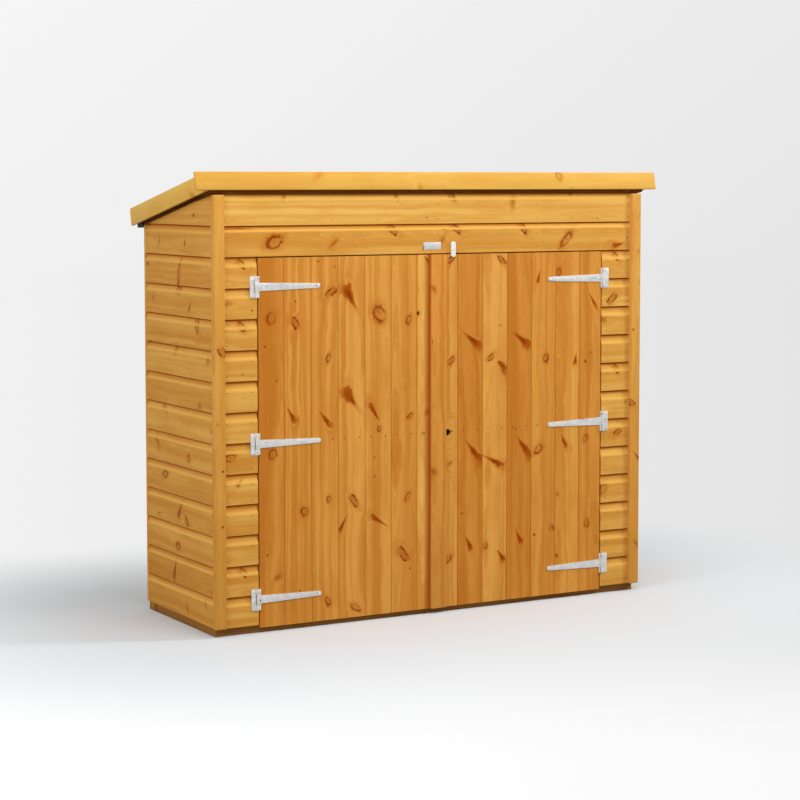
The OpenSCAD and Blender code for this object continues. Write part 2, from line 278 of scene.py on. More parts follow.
class Finish:
    # one material and the nodes in it
    def __init__(self, name, owner=None):
        self.material = owner or bpy.data.materials.new(name)
        self.material.use_nodes = True
        self.nodes = self.material.node_tree.nodes
        self.links = self.material.node_tree.links
        self.nodes.clear()

    def node(self, kind, settings=None, sockets=None, take=None):
        made = self.nodes.new("ShaderNode" + kind)
        for key, value in (settings or {}).items():
            if key == "stops":
                self.fillRamp(made.color_ramp, value)
            else:
                setattr(made, key, value)
        for key, value in (sockets or {}).items():
            self.feed(self.find(made.inputs, key), value)
        if not made.outputs:
            return None
        return Wire(self, self.find(made.outputs, take if take else 0))

    def find(self, sockets, key):
        shown = [s for s in sockets if s.enabled]
        return shown[key] if isinstance(key, int) else [s for s in shown if s.name == key][0]

    def feed(self, socket, value):
        if isinstance(value, Wire):
            self.links.new(value.socket, socket)
        else:
            socket.default_value = value

    def fillRamp(self, ramp, stops):
        while len(ramp.elements) < len(stops):
            ramp.elements.new(0.5)
        for element, (place, colour) in zip(ramp.elements, stops):
            element.position = place
            element.color = colour if isinstance(colour, tuple) else (colour, colour, colour, 1)

    def maths(self, operation, *values):
        return self.node("Math", {"operation": operation}, dict(enumerate(values)))

    def between(self, value, low, high, start=0.0, end=1.0):
        # goes smoothly from start to end as value goes from low to high
        return self.node(
            "MapRange",
            {"interpolation_type": "SMOOTHSTEP"},
            {"Value": value, "From Min": low, "From Max": high, "To Min": start, "To Max": end},
        )

    def attribute(self, name, take):
        return self.node("Attribute", {"attribute_name": name}, take=take)

    def place(self, take="Object"):
        return self.node("TexCoord", take=take)

    def split(self, vector):
        made = self.nodes.new("ShaderNodeSeparateXYZ")
        self.feed(made.inputs[0], vector)
        return [Wire(self, socket) for socket in made.outputs]

    def vector(self, x, y, z):
        return self.node("CombineXYZ", None, {"X": x, "Y": y, "Z": z})

    def noise(self, vector, scale=1.0, detail=2.0, roughness=0.5, take="Fac"):
        sockets = {"Vector": vector, "Scale": scale, "Detail": detail, "Roughness": roughness}
        return self.node("TexNoise", None, sockets, take)

    def mix(self, factor, first, second, blend="MIX"):
        return self.node(
            "Mix",
            {"data_type": "RGBA", "blend_type": blend},
            {"Factor": factor, "A": first, "B": second},
        )

    def ramp(self, value, stops):
        return self.node("ValToRGB", {"stops": stops}, {"Fac": value}, "Color")

    def bump(self, height, distance, strength=1.0):
        sockets = {"Height": height, "Distance": distance, "Strength": strength}
        return self.node("Bump", None, sockets)

    def shader(self, **sockets):
        # the plain surface shader, with its sockets named in camelCase
        names = {"colour": "Base Color", "roughness": "Roughness", "metallic": "Metallic",
                 "normal": "Normal", "coat": "Coat Weight", "coatRoughness": "Coat Roughness",
                 "specular": "Specular IOR Level"}
        surface = self.node(
            "BsdfPrincipled", None, {names[key]: value for key, value in sockets.items()}
        )
        self.node("OutputMaterial", None, {"Surface": surface})
        return self.material


woodLook = {
    "ringGap": 0.0043,       # growth rings
    "bandsPerMetre": 62,     # broad bands that follow the rings
    "wander": 0.03,          # how far the pith strays along a board
    "wanderPace": 1.7,       # how often it strays, a metre
    "fibre": 230,            # fibres across a metre
    "knotPush": 0.012,       # how far a knot pushes the grain aside
    "grainDepth": 0.0002,
    "paleBoard": (1.14, 1.30, 1.55, 1),
    "deepBoard": (0.88, 0.76, 0.58, 1),
    "fleck": 0.55,           # pale lines of the figure, here and there
    "pinHole": rgb(62, 30, 6),
    "specular": 0.04,
    # painted shade: how far the wood darkens at the top of a hollow and beside the cover strip
    "pooled": 0.85,
    # painted highlight: how far the wood pales just above a hollow's lower edge
    "paintedHighlight": 0.9,
    # pale wood for the figure's flecks and for the painted highlight
    "fleckAndHighlightWood": rgb(240, 186, 90),
}


def makeWood(name, light, deep, ring, warm, dark, roughness=0.52, ringShare=0.2,
             bandShare=0.8):
    finish = Finish(name)
    along, across, depth = finish.split(finish.attribute("grain", "Vector"))
    tone = finish.attribute("tone", "Fac")
    pooled = finish.attribute("pooled", "Fac")
    knotAlong, knotAcross, kind = finish.split(finish.attribute("knot", "Vector"))
    isRound, isPin, isSolid, isSmudge, isFork = [
        finish.maths("COMPARE", kind, number, 0.3) for number in (1, 2, 3, 4, 5)
    ]
    isSpike = isSolid + isFork
    isKnot = finish.maths("MINIMUM", kind, 1)

    # how far each point is from its knot, with a ragged edge; a spike is narrow at its far end
    ragged = finish.noise(finish.vector(along * 110, across * 150, depth * 150), 1, 2)
    swell = finish.noise(finish.vector(along * 34, across * 34, tone * 31), 1, 1)
    taper = 1 + isSolid * finish.between(knotAlong, -1.3, 1.1, 0.15, -0.8)
    blunt = 2 + isSpike * 1.6
    reachAlong = finish.maths("ABSOLUTE", knotAlong) ** blunt
    reachAcross = finish.maths("ABSOLUTE", knotAcross / taper) ** blunt
    reach = (reachAlong + reachAcross) ** (1 / blunt)
    edge = reach + (ragged - 0.5) * 0.6 + (swell - 0.5) * 0.95
    near = finish.between(reach, 0.2, 3.0, 1, 0) * isKnot

    # growth rings about a pith that wanders, pushed aside by the knots
    pace = finish.vector(along * woodLook["wanderPace"], tone * 57, 0)
    stray = finish.noise(pace, 1, 1, take="Color")
    strayAcross, strayDepth = finish.split(stray)[:2]
    ringAcross = across - knotAcross * near * woodLook["knotPush"]
    ringAcross = ringAcross + (strayAcross - 0.5) * woodLook["wander"]
    ringDepth = depth + (strayDepth - 0.5) * woodLook["wander"] * 1.6
    pith = (ringAcross ** 2 + ringDepth ** 2) ** 0.5
    waver = finish.noise(finish.vector(along * 9, across * 26, tone * 13), 1, 2)
    turns = pith / woodLook["ringGap"] + (waver - 0.5) * 1.1
    late = finish.ramp(finish.maths("FRACT", turns), [(0, 0), (0.5, 0.12), (0.88, 1), (1, 0)])
    bands = finish.noise(
        finish.vector(pith * woodLook["bandsPerMetre"] + waver, along * 0.5, tone * 19), 1, 2
    )
    fine = woodLook["fibre"]
    fibre = finish.noise(finish.vector(along * 3.2, ringAcross * fine, ringDepth * fine), 1, 3)
    streak = finish.noise(finish.vector(along * 1.4, ringAcross * 50, tone * 23), 1, 2)
    cloud = finish.noise(finish.vector(along * 4.2, across * 9, tone * 43), 1, 2)

    body = finish.mix(finish.between(bands, 0.3, 0.7) * bandShare, light, deep)
    body = finish.mix(finish.between(cloud, 0.42, 0.75) * 0.5, body, deep)
    body = finish.mix(late * ringShare, body, ring)
    body = finish.mix(finish.between(fibre, 0.45, 0.8) * 0.13, body, ring)
    body = finish.mix(finish.between(streak, 0.56, 0.78) * 0.35, body, light)
    fleck = finish.ramp(finish.maths("FRACT", turns + 0.5), [(0, 0), (0.06, 1), (0.14, 0)])
    fleck = fleck * finish.between(swell, 0.5, 0.64) * woodLook["fleck"]
    body = finish.mix(fleck, body, woodLook["fleckAndHighlightWood"])
    tint = finish.ramp(tone, [(0, woodLook["paleBoard"]), (0.5, 1.0), (1, woodLook["deepBoard"])])
    body = finish.mix(1.0, body, tint, "MULTIPLY")

    # the wood about a knot is deeper, with a warm halo that is stronger on one side
    about = finish.between(reach, 0.6, 3.2, 1, 0) ** 1.5 * (isRound + isSpike)
    body = finish.mix(about * 0.35, body, deep)
    side = finish.between(knotAcross + (swell - 0.5), -1.2, 1.0, 0.25, 1)
    halo = finish.between(edge, 0.6, 2.6, 1, 0) ** 1.7 * side
    halo = halo * finish.between(edge, 0.5, 1.0, 0.35, 1)
    body = finish.mix(halo * (isRound * 0.75 + isSpike * 0.4), body, warm)

    # a round knot: the wood's own colour inside a thin broken ring, dark on one side
    rim = finish.between(edge, 0.7, 0.95) * finish.between(edge, 0.95, 1.22, 1, 0)
    crescent = finish.between(edge, 0.55, 0.9) * finish.between(edge, 1.0, 1.5, 1, 0)
    crescent = crescent * finish.between(knotAcross - knotAlong * 0.4, 0.1, 0.8)
    eye = finish.between(edge, 0.1, 0.34, 1, 0) * finish.between(swell, 0.4, 0.55)
    inner = finish.maths("FRACT", edge * 3.4) * finish.between(edge, 0.8, 1.0, 1, 0)
    body = finish.mix(inner * isRound * 0.2, body, warm)
    body = finish.mix(crescent * isRound * 0.75, body, warm)
    body = finish.mix(rim * isRound * finish.between(swell, 0.36, 0.54, 0.25, 0.85), body, dark)
    body = finish.mix(eye * isRound * 0.45, body, dark)

    # a spike: solid, crisp with a pale line on one side and feathery on the other
    feather = edge + (fibre - 0.5) * finish.between(knotAcross, -0.5, 0.3, 1.3, 0.1)
    soft = finish.between(knotAcross, -0.6, 0.4, 0.5, 0.1)
    solid = finish.between(feather, 1 - soft, 1 + soft, 1, 0) * isSpike
    heart = finish.between(feather, 0.15, 0.8, 1, 0) * isSpike
    outline = finish.between(edge, 1.08, 1.2) * finish.between(edge, 1.25, 1.6, 1, 0)
    outline = outline * finish.between(knotAcross, 0.05, 0.5) * isSpike
    body = finish.mix(outline * 0.5, body, light)
    filled = isSolid * 0.9 + isFork * finish.between(reachAlong, 0.3, 0.8, 0.45, 0)
    body = finish.mix(solid * filled, body, warm)
    body = finish.mix(heart * isSolid * finish.between(swell, 0.3, 0.6, 0.3, 0.9), body, dark)

    # a fork: two short strokes, one of them longer
    prong = finish.between(edge, 0.55, 0.85) * finish.between(edge, 0.95, 1.25, 1, 0) * isFork
    ends = finish.maths("ABSOLUTE", knotAlong - finish.between(knotAcross, -0.5, 0.5, 0.35, -0.2))
    prong = prong * finish.between(ends, 0.5, 0.75, 1, 0)
    body = finish.mix(prong * finish.between(ragged, 0.3, 0.5, 0.5, 1), body, dark)

    # a smudge where a knot lies under the face, and the dark pin of a small dead one
    smudge = finish.between(edge, 0.0, 1.5, 1, 0) ** 1.3 * isSmudge
    body = finish.mix(smudge * 0.75, body, warm)
    pin = finish.between(reach, 0.65, 1.05, 1, 0) * isPin
    body = finish.mix(finish.between(reach, 0.9, 2.4, 0.5, 0) * isPin, body, warm)
    body = finish.mix(pin * 0.9, body, woodLook["pinHole"])

    # painted shade at the top of a hollow and beside the cover strip, and a painted highlight just above a
    # hollow's lower edge
    body = finish.mix(finish.between(pooled, 0.0, 1.0) * woodLook["pooled"], body, warm)
    paintedHighlight = finish.between(pooled, 0.0, -1.0) * woodLook["paintedHighlight"]
    body = finish.mix(paintedHighlight, body, woodLook["fleckAndHighlightWood"])

    height = fibre * 0.5 + late * 0.5 - rim * isRound * 0.8 - pin * 2
    return finish.shader(
        colour=body,
        roughness=roughness + (fibre - 0.5) * 0.16 - solid * 0.08,
        specular=woodLook["specular"],
        normal=finish.bump(height, woodLook["grainDepth"], 0.6),
    )


wood = {
    "clad": makeWood("stained_cladding", rgb(235, 176, 84), rgb(213, 142, 53), rgb(180, 106, 26),
                     rgb(180, 86, 4), rgb(134, 50, 0)),
    "door": makeWood("stained_door", rgb(234, 165, 74), rgb(210, 131, 46), rgb(174, 96, 22),
                     rgb(176, 80, 2), rgb(130, 46, 0), bandShare=0.95),
    "pale": makeWood("pale_stained", rgb(240, 190, 92), rgb(226, 166, 68), rgb(206, 140, 44),
                     rgb(212, 130, 36), rgb(164, 84, 10), ringShare=0.1, bandShare=0.7),
    "sawn": makeWood("sawn_stained", rgb(176, 126, 66), rgb(150, 100, 44), rgb(116, 70, 26),
                     rgb(138, 70, 18), rgb(84, 38, 8), roughness=0.75),
    # roof timber, darker than the cladding as painted shade under the fascia and barges
    "dark": makeWood("shade_dark_roof_wood", rgb(120, 70, 22), rgb(98, 54, 14), rgb(72, 36, 8),
                     rgb(80, 36, 6), rgb(50, 22, 4), roughness=0.75),
    "bare": makeWood("bare_softwood", rgb(228, 196, 142), rgb(212, 172, 114), rgb(188, 142, 86),
                     rgb(164, 104, 50), rgb(104, 58, 24), roughness=0.7),
}
print("wood finishes made")


def knotRow(knots, turned=1):
    # fills in each knot's kind: 1 round, 2 a pin, 3 a spike, 4 a smudge, 5 a fork
    rows = []
    for place, side, size, stretch, lean, *kind in knots:
        usual = 3 if stretch > 2.1 else 1
        rows.append((place, side, size, stretch, lean * turned, kind[0] if kind else usual))
    return rows


def markGrain(piece, start, along, across, rng, width, knots=(), tone=None):
    # gives the mesh the wood's own coordinates, its tone, and each face's place about its knot
    start, along, across = Vector(start), Vector(along), Vector(across)
    inward = along.cross(across)
    shift = rng.uniform(0, 40)
    pithAcross = rng.uniform(-0.1, 1.1) * width
    pithDepth = rng.uniform(0.012, 0.06)
    shade = rng.uniform(0.2, 0.8)
    mesh = piece.data
    grain = []
    for vertex in mesh.vertices:
        place = vertex.co - start
        grain.append(place.dot(along) + shift)
        grain.append(place.dot(across) - pithAcross)
        grain.append(place.dot(inward) - pithDepth)
    mesh.attributes.new("grain", "FLOAT_VECTOR", "POINT").data.foreach_set("vector", grain)
    shades = [shade if tone is None else tone] * len(mesh.vertices)
    mesh.attributes.new("tone", "FLOAT", "POINT").data.foreach_set("value", shades)
    corners = [0.0] * (3 * len(mesh.loops))
    for face in mesh.polygons:
        if not knots:
            break
        middle = (face.center - start).dot(along)
        high, side, size, stretch, lean, kind = min(knots, key=lambda knot: abs(knot[0] - middle))
        turn = math.radians(lean)
        for loop in face.loop_indices:
            place = mesh.vertices[mesh.loops[loop].vertex_index].co - start
            u, v = place.dot(along) - high, place.dot(across) - side
            corners[3 * loop] = (u * math.cos(turn) + v * math.sin(turn)) / (size * stretch)
            corners[3 * loop + 1] = (v * math.cos(turn) - u * math.sin(turn)) / size
            corners[3 * loop + 2] = kind
    mesh.attributes.new("knot", "FLOAT_VECTOR", "CORNER").data.foreach_set("vector", corners)
    return piece


def splitAtKnots(piece, start, along, knots):
    # a cut half way between neighbouring knots, so that each face belongs to one knot
    places = sorted(knot[0] for knot in knots)
    for first, second in zip(places, places[1:]):
        cutAcross(piece, Vector(start) + Vector(along) * (first + second) / 2, along)


def scatterKnots(rng, length, width, spacing=0.5):
    knots = []
    place = rng.uniform(0.1, 1.0) * spacing
    while place < length:
        kind = rng.choice((1, 1, 2, 3, 4, 5))
        side = rng.uniform(0.12, 0.88) * width
        lean = rng.uniform(25, 70) * rng.choice((-1, 1))
        size, stretch = {
            1: (rng.uniform(0.007, 0.013), rng.uniform(1.0, 1.5)),
            2: (0.0032, 1.2),
            3: (rng.uniform(0.005, 0.009), rng.uniform(2.2, 3.6)),
            4: (rng.uniform(0.010, 0.018), rng.uniform(1.5, 3.0)),
            5: (rng.uniform(0.008, 0.013), rng.uniform(1.8, 3.0)),
        }[kind]
        knots.append((place, side, size, stretch, lean, kind))
        place += rng.uniform(0.4, 1.7) * spacing
    return knots


def easedTimber(node, name, material, body, seed, along=None, width=0.002, steps=2,
                spacing=0.55, tone=None):
    # the CAD timbers with their arrises taken off, each solid with its own grain
    rng = random.Random(seed)
    parts = looseParts(cadCopy(node, name))
    parts.sort(key=lambda part: tuple(round(x, 4) for x in part.data.vertices[0].co))
    for part in parts:
        low, high = boxOf(part)
        size = high - low
        order = sorted(range(3), key=lambda i: -size[i])
        axis = Vector(along) if along else Vector([float(i == order[0]) for i in range(3)])
        side = Vector([float(i == order[1]) for i in range(3)])
        side = (side - axis * side.dot(axis)).normalized()
        knots = scatterKnots(rng, size[order[0]], size[order[1]], spacing)
        splitAtKnots(part, low, axis, knots)
        bevelAll(part, width, steps)
        markGrain(part, low, axis, side, rng, size[order[1]], knots, tone)
        smooth(part)
    return settle(joinAll(parts, name), body, material, [node])


shiplap = {
    "cover": 0.110,
    "panelHollow": 0.034,    # height of the hollow along a board's top edge, wall by wall
    "headerHollow": 0.020,
    "sideHollow": 0.026,
    "coveDeep": 0.0066,
    "coveCurve": 2.8,
    "rebateHigh": 0.0036,    # the dark line under the board above
    "rebateDeep": 0.0098,
    "coveSteps": 6,
    "arris": 0.0008,
    "joint": 0.0015,
    "sliver": 0.03,          # a rest lower than this goes to the board below it
}


def hollowShadeAndHighlight(place, high):
    # painted light: from 1, painted shade at the top of the hollow, to -1, a painted highlight just above
    # its lower edge, and 0 on flat faces
    fall = (shiplap["cover"] - place.z) / high if high else 2
    if place.y > shiplap["rebateDeep"] + 1e-4 or fall > 1.1:
        return 0.0
    return 1 - 2.0 * fall if fall < 1 else -0.8


def plainBoard(length, thick, high):
    # a board of the rear wall, with square faces and a small joint
    board = addBlock("board", (0, 0, 0), (length, thick, shiplap["cover"]))
    bevelWhere(board, lambda co, way: abs(way.x) > 0.9 and co.y < 1e-5, shiplap["joint"])
    return board


def shiplapBoard(length, thick, high):
    # one board from its outer face at y = 0, with the hollow worked along its top edge
    cover, steps = shiplap["cover"], shiplap["coveSteps"]
    board = addBlock("board", (0, 0, 0), (length, thick, cover))
    for step in range(1, steps + 1):
        cutAcross(board, (0, 0, cover - high * step / steps), plumb)
    cutAcross(board, (0, 0, cover - high - 0.007), plumb)
    for step in range(steps):
        row = cover - high * step / steps
        pickParts(board, "VERT", lambda co, n: abs(co.y) < 1e-5 and abs(co.z - row) < 1e-5)
        inward = shiplap["coveDeep"] * (1 - (step / steps) ** shiplap["coveCurve"])
        bpy.ops.transform.translate(value=(0, inward, 0))
        toObject()
    rebate = cover - shiplap["rebateHigh"]
    cutAcross(board, (0, 0, rebate), plumb)
    deeper = shiplap["rebateDeep"] - shiplap["coveDeep"]
    pickParts(board, "VERT", lambda co, n: co.z > cover - 1e-5 and co.y < thick - 1e-4)
    bpy.ops.transform.translate(value=(0, deeper, 0))
    toObject()
    bevelWhere(board, lambda co, way: abs(way.x) > 0.9 and co.z < 1e-5, shiplap["arris"])
    return board


def shiplapWall(name, node, origin, turn, length, top, knots, seed, courses, high=0.0,
                tones=(), cut=False):
    # tones goes from the lowest board up
    rng = random.Random(seed)
    cover = shiplap["cover"]
    base = (shiplapBoard if high else plainBoard)(length, boardThick, high)
    # painted shade and painted highlight along each board's hollow, kept on its vertices
    pooled = [hollowShadeAndHighlight(vertex.co, high) for vertex in base.data.vertices]
    base.data.attributes.new("pooled", "FLOAT", "POINT").data.foreach_set("value", pooled)
    boards = []
    first, last = courses
    for course in range(first, last):
        foot = boardsFoot + course * cover
        board = copyOf(base, "board")
        own = knotRow(knots.get(course, ())) or scatterKnots(rng, length, cover)
        splitAtKnots(board, (0, 0, 0), (1, 0, 0), own)
        if course == last - 1 and top - foot > cover:
            pickParts(board, "VERT", lambda co, n: co.z > cover - 1e-5)
            bpy.ops.transform.translate(value=(0, 0, top - foot - cover))
            toObject()
        tone = tones[course - first] if tones else None
        markGrain(board, (0, 0, 0), (1, 0, 0), (0, 0, 1), rng, cover, own, tone)
        board.location = (origin[0], origin[1], foot)
        board.rotation_euler = (0, 0, turn)
        boards.append(placeInMesh(board))
    bpy.data.objects.remove(base)
    wall = joinAll(boards, name)
    if cut:
        cutAcross(wall, roofPoint, roofAway, drop=True)
    smooth(wall, 25)
    return settle(wall, "shed", wood["clad"], [node])


doorwayCourses = round((header[0].z - boardsFoot) / shiplap["cover"])
allCourses = math.ceil((header[1].z - boardsFoot - shiplap["sliver"]) / shiplap["cover"])
rearCourses = math.ceil((rearBox[1].z - boardsFoot) / shiplap["cover"])

# knots: place along the board, height on it, radius, stretch, lean, kind; the lowest board is 0
frontLeftKnots = {
    11: [(0.070, 0.085, 0.011, 2.0, -40, 5)],
    10: [(0.012, 0.055, 0.012, 1.8, 20, 4), (0.110, 0.03, 0.003, 1.0, 0, 2)],
    9: [(0.070, 0.085, 0.011, 2.0, -40, 5)],
    5: [(0.020, 0.060, 0.013, 1.6, 10)],
    4: [(0.060, 0.080, 0.007, 2.4, 50)],
    1: [(0.070, 0.086, 0.011, 2.0, -40, 5)],
}
frontRightKnots = {
    11: [(0.065, 0.085, 0.010, 2.2, -50, 5)],
    10: [(0.045, 0.030, 0.013, 2.2, 50, 5)],
    9: [(0.008, 0.060, 0.014, 1.3, 0, 4)],
    7: [(0.070, 0.085, 0.010, 2.2, -50, 5)],
    3: [(0.012, 0.055, 0.013, 1.5, 60)],
}
headerKnots = {
    12: [(0.05, 0.100, 0.009, 9.0, 0, 4), (0.200, 0.050, 0.021, 1.5, 25),
         (0.44, 0.045, 0.011, 3.4, 42, 4), (0.68, 0.092, 0.011, 2.8, -42, 5),
         (0.895, 0.050, 0.012, 2.8, 58, 4), (0.953, 0.094, 0.011, 2.8, -42, 5),
         (1.253, 0.090, 0.011, 2.6, -52, 5), (1.45, 0.045, 0.012, 3.0, 48, 1),
         (1.69, 0.020, 0.012, 2.4, 12)],
    13: [(0.24, 0.100, 0.009, 1.8, 60, 4), (0.70, 0.104, 0.010, 2.0, -70, 4),
         (0.935, 0.104, 0.010, 2.0, -60), (1.205, 0.080, 0.015, 2.2, 82, 4),
         (1.47, 0.108, 0.009, 1.6, 0, 4)],
}
leftKnots = {
    13: [(0.44, 0.035, 0.005, 1.3, 0, 2)],
    12: [(0.13, 0.050, 0.007, 3.4, 80, 4), (0.36, 0.050, 0.006, 2.4, 85)],
    11: [(0.02, 0.070, 0.012, 1.6, 0, 4), (0.31, 0.045, 0.010, 4.4, 78, 1)],
    10: [(0.07, 0.060, 0.005, 3.0, 75), (0.30, 0.092, 0.013, 1.3, 0),
         (0.40, 0.040, 0.006, 3.6, 66)],
    3: [(0.30, 0.060, 0.012, 2.8, 60), (0.36, 0.02, 0.010, 2.0, -50)],
    2: [(0.28, 0.030, 0.012, 1.4, 0)],
    1: [(0.25, 0.050, 0.014, 2.6, 75)],
    0: [(0.36, 0.035, 0.010, 2.4, 80, 4), (0.52, 0.075, 0.006, 3.0, -62)],
}
panelTones = (0.4, 0.45, 0.4, 0.5, 0.35, 0.45, 0.3, 0.4, 0.25, 0.35, 0.25, 0.4)
headerTones = (0.45, 0.0)
sideTones = (0.7, 0.75, 0.5, 0.7, 0.6, 0.45, 0.3, 0.5, 0.35, 0.6, 0.4, 0.55, 0.6, 0.5)
panelLength = leftPanel[1].x - leftPanel[0].x
sideLength = sideBox[1].y - sideBox[0].y
shiplapWall("front_left_boards", "front_wall_left", leftPanel[0], 0, panelLength, header[0].z,
            frontLeftKnots, 11, (0, doorwayCourses), shiplap["panelHollow"], panelTones)
shiplapWall("front_right_boards", "front_wall_right", rightPanel[0], 0, panelLength,
            header[0].z, frontRightKnots, 12, (0, doorwayCourses), shiplap["panelHollow"],
            panelTones)
shiplapWall("header_boards", "front_wall_header", header[0], 0, header[1].x - header[0].x,
            header[1].z, headerKnots, 13, (doorwayCourses, allCourses),
            shiplap["headerHollow"], headerTones, cut=True)
shiplapWall("left_boards", "left_wall_boards", (-sideX, sideBox[1].y), -math.pi / 2, sideLength,
            header[1].z, leftKnots, 14, (0, allCourses), shiplap["sideHollow"], sideTones,
            cut=True)
shiplapWall("right_boards", "right_wall_boards", (sideX, sideBox[0].y), math.pi / 2, sideLength,
            header[1].z, {}, 15, (0, allCourses), shiplap["sideHollow"], cut=True)
shiplapWall("rear_boards", "rear_wall_boards", (rearBox[1].x, rearBox[1].y), math.pi,
            rearBox[1].x - rearBox[0].x, rearBox[1].z, {}, 16, (0, rearCourses), cut=True)
print("shiplap walls made")

door = {
    "joints": (0.088, 0.198, 0.308, 0.418, 0.528, 0.638),   # from the middle of the doorway
    "gap": 0.0004,           # half the gap between two boards
    "tongueFrom": 0.0045,
    "tongueTo": 0.0075,
    "vee": 0.002,
    "stripShadowReach": 0.033,    # how far the painted shadow of the cover strip reaches across the board beside it
    "leftTones": (0.0, 0.5, 0.4, 0.3, 0.42, 0.45, 0.75),
    "rightTones": (0.35, 0.8, 0.3, 0.75, 0.5, 0.3, 0.7),
}

# knots of each board, from the meeting edge outwards: height, place across, radius, stretch,
# lean and kind
leftDoorKnots = [
    [(1.33, 0.045, 0.005, 3.0, -45), (1.13, 0.082, 0.006, 1.2, 0, 2),
     (0.76, 0.040, 0.014, 1.5, 60, 4)],
    [(1.108, 0.035, 0.009, 1.6, 20), (0.75, 0.030, 0.007, 1.8, 50), (0.45, 0.038, 0.008, 2.0, 30),
     (0.235, 0.06, 0.014, 2.6, 142, 5), (0.18, 0.03, 0.003, 1.0, 0, 2)],
    [(1.134, 0.048, 0.022, 1.3, -25), (0.77, 0.070, 0.010, 4.2, 148),
     (0.71, 0.050, 0.008, 1.2, 0), (0.37, 0.055, 0.010, 3.4, 122)],
    [(1.203, 0.064, 0.025, 1.9, 150, 3), (0.83, 0.062, 0.023, 1.9, 142, 3),
     (0.45, 0.045, 0.011, 2.6, -38, 5), (0.365, 0.095, 0.009, 3.6, 28),
     (0.055, 0.04, 0.010, 2.0, -60)],
    [(1.33, 0.08, 0.003, 1.0, 0, 2), (1.217, 0.030, 0.012, 2.2, 50, 5),
     (0.978, 0.04, 0.009, 1.6, 20), (0.755, 0.052, 0.012, 2.8, -38), (0.465, 0.04, 0.008, 1.4, 0),
     (0.09, 0.045, 0.010, 1.5, -20)],
    [(1.188, 0.065, 0.003, 1.0, 0, 2), (1.112, 0.066, 0.013, 1.9, 150, 5),
     (0.777, 0.080, 0.012, 2.3, -30), (0.427, 0.030, 0.013, 1.1, 0),
     (0.14, 0.05, 0.003, 1.0, 0, 2)],
    [(1.130, 0.050, 0.016, 1.1, 0), (1.03, 0.075, 0.003, 1.0, 0, 2),
     (0.905, 0.03, 0.003, 1.0, 0, 2), (0.645, 0.045, 0.015, 1.1, 10),
     (0.28, 0.07, 0.003, 1.0, 0, 2), (0.195, 0.03, 0.014, 1.8, 65, 4)],
]
rightDoorKnots = [
    [(1.326, 0.055, 0.009, 2.2, 45, 5), (0.948, 0.057, 0.009, 2.2, 48, 5),
     (0.56, 0.05, 0.009, 2.2, 60, 4), (0.20, 0.045, 0.009, 1.8, 40)],
    [(1.02, 0.066, 0.019, 2.3, -52), (0.60, 0.070, 0.018, 3.0, -38),
     (0.25, 0.050, 0.012, 2.4, -28)],
    [(1.32, 0.085, 0.009, 3.0, -42, 5), (0.952, 0.035, 0.009, 2.2, 45, 5),
     (0.925, 0.082, 0.015, 2.4, -42), (0.555, 0.055, 0.015, 2.9, -62),
     (0.235, 0.012, 0.008, 1.2, 0), (0.19, 0.085, 0.012, 2.6, -34)],
    [(1.015, 0.066, 0.019, 2.2, -52), (0.605, 0.074, 0.017, 3.0, -36),
     (0.255, 0.055, 0.012, 2.4, -25)],
    [(1.25, 0.030, 0.009, 2.2, 15), (0.94, 0.063, 0.011, 1.3, 0), (0.59, 0.03, 0.012, 1.8, 50),
     (0.275, 0.095, 0.009, 1.6, 0), (0.26, 0.015, 0.004, 1.2, 0, 2)],
    [(1.27, 0.012, 0.009, 1.6, 0), (0.93, 0.092, 0.009, 2.2, 10), (0.615, 0.040, 0.010, 3.2, -28),
     (0.41, 0.012, 0.010, 1.4, 0, 4), (0.17, 0.01, 0.004, 1.5, 0, 2)],
    [(1.16, 0.060, 0.006, 6.0, -35), (0.92, 0.030, 0.004, 1.2, 0, 2),
     (0.62, 0.03, 0.009, 1.5, 20), (0.285, 0.038, 0.010, 1.4, 0)],
]


def doorPlank(low, high, knots, rng, side, tone):
    gap = door["gap"]
    plank = addBlock("plank", (low.x + gap, low.y, low.z), (high.x - gap, high.y, high.z))
    for place in ("tongueFrom", "tongueTo"):
        cutAcross(plank, (0, low.y + door[place], 0), (0, 1, 0))
    layer = low.y + (door["tongueFrom"] + door["tongueTo"]) / 2
    for way in (-1, 1):
        pickParts(plank, "FACE", lambda co, n: n.x * way > 0.9 and abs(co.y - layer) < 0.001)
        bpy.ops.mesh.extrude_region_move(TRANSFORM_OT_translate={"value": (gap * way, 0, 0)})
        toObject()
    bevelWhere(plank, lambda co, run: abs(run.z) > 0.9 and abs(co.y - low.y) < 1e-5, door["vee"])
    splitAtKnots(plank, (0, 0, 0), plumb, knots)
    edge = low.x if side > 0 else high.x
    return markGrain(plank, (edge, low.y, 0), plumb, (side, 0, 0), rng, high.x - low.x, knots,
                     tone)


def paintStripShadow(plank, edge, reach, steps=5):
    # painted shadow of the cover strip: the wood goes from plain to darker over this reach, up to the edge
    for step in range(-1, steps + 1):
        cutAcross(plank, (edge - reach * step / steps, 0, 0), (1, 0, 0))
    depth = []
    for vertex in plank.data.vertices:
        part = (vertex.co.x - edge) / reach + 1
        depth.append(max(0, part) ** 1.1 if part < 1.01 else 0.0)
    plank.data.attributes.new("pooled", "FLOAT", "POINT").data.foreach_set("value", depth)


def doorLeaf(name, node, side, knots, tones, seed):
    rng = random.Random(seed)
    low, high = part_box(node)
    inner, outer = sorted((abs(low.x), abs(high.x)))
    edges = [inner, *door["joints"], outer]
    planks = []
    for index, (near, far) in enumerate(zip(edges, edges[1:])):
        span = sorted((side * near, side * far))
        start, end = Vector((span[0], low.y, low.z)), Vector((span[1], high.y, high.z))
        plank = doorPlank(start, end, knotRow(knots[index], side), rng, side, tones[index])
        # the board beside the cover strip gets the strip's painted shadow
        if index == 0 and side < 0:
            paintStripShadow(plank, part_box("cover_strip")[0].x, door["stripShadowReach"])
        planks.append(plank)
    return joinAll(planks, name)


